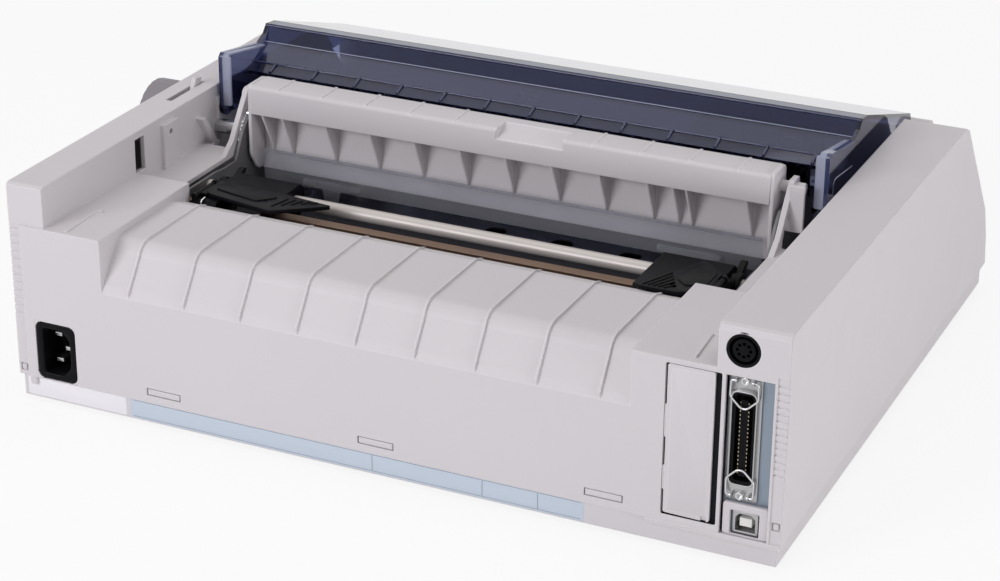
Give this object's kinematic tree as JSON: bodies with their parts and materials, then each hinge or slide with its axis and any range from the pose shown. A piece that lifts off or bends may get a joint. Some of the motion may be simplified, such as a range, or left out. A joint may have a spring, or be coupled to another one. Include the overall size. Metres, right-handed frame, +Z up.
{
  "type": "dot matrix printer",
  "caption": "Desktop impact printer with a hinged smoky cover, a swinging paper separator, a push tractor feed, a geared platen and a belt-driven print head carriage",
  "frame": {"origin": "centre of the underside of the bounding box, on the table", "axes": "+X along the paper width towards the platen knob, +Y to the rear with the ports, +Z up"},
  "size_m": [0.4166, 0.345, 0.135],
  "materials": {
    "case_plastic": "fine moulded grain",
    "black_rubber": "matt",
    "plated_steel": "zinc plated",
    "port_plate_paint": "blue-grey",
    "black_plastic": "moulded",
    "contact_gold": "gold plated",
    "bright_steel": "bright wire",
    "white_plastic": "moulded",
    "board_green": "circuit board",
    "board_brown": "circuit board",
    "head_casting": "cast, dark",
    "belt_rubber": "toothed belt",
    "motor_can": "motor can",
    "pinion_brass": "machined",
    "knob_plastic": "moulded",
    "browned_steel": "browned square bar",
    "rail_aluminium": "drawn rod",
    "guide_paint": "dark painted sheet",
    "clear_film": "clear film",
    "smoky_plastic": "smoky",
    "panel_plastic": "printed panel",
    "button_plastic": "moulded"
  },
  "bodies": {
    "printer": {"lower_case": "case_plastic", "upper_case": "case_plastic", "rubber_feet": "black_rubber", "case_screws": "plated_steel", "option_card_cover": "case_plastic", "interface_plate": "port_plate_paint", "parallel_shell": "plated_steel", "parallel_insulator": "black_plastic", "parallel_contacts": "contact_gold", "usb_shell": "plated_steel", "usb_tongue": "white_plastic", "round_port": "black_plastic", "inlet_body": "black_plastic", "inlet_pins": "bright_steel", "main_board": "board_green", "power_supply": "board_brown", "mechanism_pan": "plated_steel", "knob_side_frame": "plated_steel", "far_side_frame": "plated_steel", "carriage_shaft": "bright_steel", "carriage_guide": "bright_steel", "carriage_belt": "belt_rubber", "space_motor": "motor_can", "feed_motor": "motor_can", "feed_belt": "belt_rubber", "tractor_rail": "rail_aluminium", "paper_guide": "guide_paint", "control_panel": "panel_plastic"},
    "upper_bail": {"upper_bail": "bright_steel"},
    "lower_bail": {"lower_bail": "bright_steel"},
    "carriage": {"carriage": "black_plastic", "print_head": "head_casting", "ribbon_cartridge": "black_plastic"},
    "belt_pulley": {"belt_pulley": "white_plastic"},
    "belt_idler": {"belt_idler": "white_plastic"},
    "feed_pinion": {"feed_pinion": "pinion_brass"},
    "feed_idler": {"feed_idler": "white_plastic"},
    "knob": {"knob_shaft": "bright_steel", "platen_knob": "knob_plastic"},
    "platen": {"platen": "black_rubber", "platen_shaft": "bright_steel", "platen_gear": "white_plastic"},
    "tractor_drive": {"drive_shaft": "browned_steel", "drive_pulley": "white_plastic"},
    "near_tractor": {"near_tractor": "black_plastic"},
    "far_tractor": {"far_tractor": "black_plastic"},
    "near_lid": {"near_lid": "black_plastic"},
    "far_lid": {"far_lid": "black_plastic"},
    "near_lock": {"near_lock": "black_plastic"},
    "far_lock": {"far_lock": "black_plastic"},
    "near_sprocket": {"near_sprocket": "black_plastic"},
    "far_sprocket": {"far_sprocket": "black_plastic"},
    "separator": {"paper_separator": "case_plastic", "separator_film": "clear_film"},
    "access_cover": {"access_cover": "smoky_plastic"},
    "paper_lever": {"paper_lever": "case_plastic"},
    "power_switch": {"power_switch": "black_plastic"},
    "select_button": {"select_button": "button_plastic"},
    "line_feed_button": {"line_feed_button": "button_plastic"},
    "form_feed_button": {"form_feed_button": "button_plastic"}
  },
  "joints": [
    {"name": "cover_hinge", "type": "hinge", "parent": "printer", "child": "access_cover", "pos_m": [-0.0008, 0.002, 0.1035], "axis": [-1, 0, 0], "range_deg": [0, 60]},
    {"name": "separator_hinge", "type": "hinge", "parent": "printer", "child": "separator", "pos_m": [-0.0008, 0.0045, 0.113], "axis": [1, 0, 0], "range_deg": [0, 42]},
    {"name": "upper_bail_hinge", "type": "hinge", "parent": "printer", "child": "upper_bail", "pos_m": [-0.18775, 0.1713, 0.09], "axis": [1, 0, 0], "range_deg": [0, 90]},
    {"name": "lower_bail_hinge", "type": "hinge", "parent": "printer", "child": "lower_bail", "pos_m": [-0.18775, 0.1713, 0.034], "axis": [-1, 0, 0], "range_deg": [0, 90]},
    {"name": "near_tractor_slide", "type": "slide", "parent": "printer", "child": "near_tractor", "axis": [-1, 0, 0], "range_m": [0, 0.034]},
    {"name": "far_tractor_slide", "type": "slide", "parent": "printer", "child": "far_tractor", "axis": [1, 0, 0], "range_m": [0, 0.13]},
    {"name": "near_lid_hinge", "type": "hinge", "parent": "near_tractor", "child": "near_lid", "pos_m": [0.13415, 0.0805, 0.089], "axis": [0, 1, 0], "range_deg": [0, 100]},
    {"name": "far_lid_hinge", "type": "hinge", "parent": "far_tractor", "child": "far_lid", "pos_m": [-0.14165, 0.0805, 0.089], "axis": [0, -1, 0], "range_deg": [0, 100]},
    {"name": "near_lock_turn", "type": "hinge", "parent": "near_tractor", "child": "near_lock", "pos_m": [0.13415, 0.0565, 0.08], "axis": [-1, 0, 0], "range_deg": [0, 65]},
    {"name": "far_lock_turn", "type": "hinge", "parent": "far_tractor", "child": "far_lock", "pos_m": [-0.14165, 0.0565, 0.08], "axis": [-1, 0, 0], "range_deg": [0, 65]},
    {"name": "platen_spin", "type": "hinge", "parent": "printer", "child": "platen", "pos_m": [-0.0008, -0.01154, 0.088], "axis": [1, 0, 0], "continuous": true},
    {"name": "knob_spin", "type": "hinge", "parent": "printer", "child": "knob", "pos_m": [0.16975, 0.007, 0.093], "axis": [1, 0, 0], "continuous": true},
    {"name": "feed_idler_spin", "type": "hinge", "parent": "printer", "child": "feed_idler", "pos_m": [0.15075, 0.01187, 0.0695], "axis": [1, 0, 0], "continuous": true},
    {"name": "feed_pinion_spin", "type": "hinge", "parent": "printer", "child": "feed_pinion", "pos_m": [0.15075, 0.02989, 0.0591], "axis": [1, 0, 0], "continuous": true},
    {"name": "drive_spin", "type": "hinge", "parent": "printer", "child": "tractor_drive", "pos_m": [-0.0008, 0.0775, 0.0785], "axis": [1, 0, 0], "continuous": true},
    {"name": "near_sprocket_spin", "type": "hinge", "parent": "near_tractor", "child": "near_sprocket", "pos_m": [0.11575, 0.0775, 0.0785], "axis": [1, 0, 0], "continuous": true},
    {"name": "far_sprocket_spin", "type": "hinge", "parent": "far_tractor", "child": "far_sprocket", "pos_m": [-0.12325, 0.0775, 0.0785], "axis": [1, 0, 0], "continuous": true},
    {"name": "carriage_slide", "type": "slide", "parent": "printer", "child": "carriage", "axis": [1, 0, 0], "range_m": [0, 0.206]},
    {"name": "belt_pulley_spin", "type": "hinge", "parent": "printer", "child": "belt_pulley", "pos_m": [0.1242, -0.1155, 0.064], "axis": [0, 0, 1], "continuous": true},
    {"name": "belt_idler_spin", "type": "hinge", "parent": "printer", "child": "belt_idler", "pos_m": [-0.1258, -0.1155, 0.064], "axis": [0, 0, 1], "continuous": true},
    {"name": "paper_lever_turn", "type": "hinge", "parent": "printer", "child": "paper_lever", "pos_m": [0.17925, 0.0225, 0.1], "axis": [-1, 0, 0], "range_deg": [0, 50]},
    {"name": "power_switch_rock", "type": "hinge", "parent": "printer", "child": "power_switch", "pos_m": [0.18475, -0.1335, 0.038], "axis": [0, 1, 0], "range_deg": [-7, 7]},
    {"name": "select_press", "type": "slide", "parent": "printer", "child": "select_button", "axis": [0, 0.9615, -0.2747], "range_m": [0, 0.0015], "stiffness_N_per_m": 200},
    {"name": "line_feed_press", "type": "slide", "parent": "printer", "child": "line_feed_button", "axis": [0, 0.9615, -0.2747], "range_m": [0, 0.0015], "stiffness_N_per_m": 200},
    {"name": "form_feed_press", "type": "slide", "parent": "printer", "child": "form_feed_button", "axis": [0, 0.9615, -0.2747], "range_m": [0, 0.0015], "stiffness_N_per_m": 200}
  ],
  "couplings": [
    {"joint": "knob_spin", "follows": "platen_spin", "ratio": -1},
    {"joint": "feed_idler_spin", "follows": "platen_spin", "ratio": 0.66667},
    {"joint": "feed_pinion_spin", "follows": "platen_spin", "ratio": -1.5},
    {"joint": "drive_spin", "follows": "platen_spin", "ratio": -1.9062},
    {"joint": "near_sprocket_spin", "follows": "platen_spin", "ratio": -1.9062},
    {"joint": "far_sprocket_spin", "follows": "platen_spin", "ratio": -1.9062},
    {"joint": "belt_pulley_spin", "follows": "carriage_slide", "rad_per_m": -153.85},
    {"joint": "belt_idler_spin", "follows": "carriage_slide", "rad_per_m": -153.85}
  ]
}
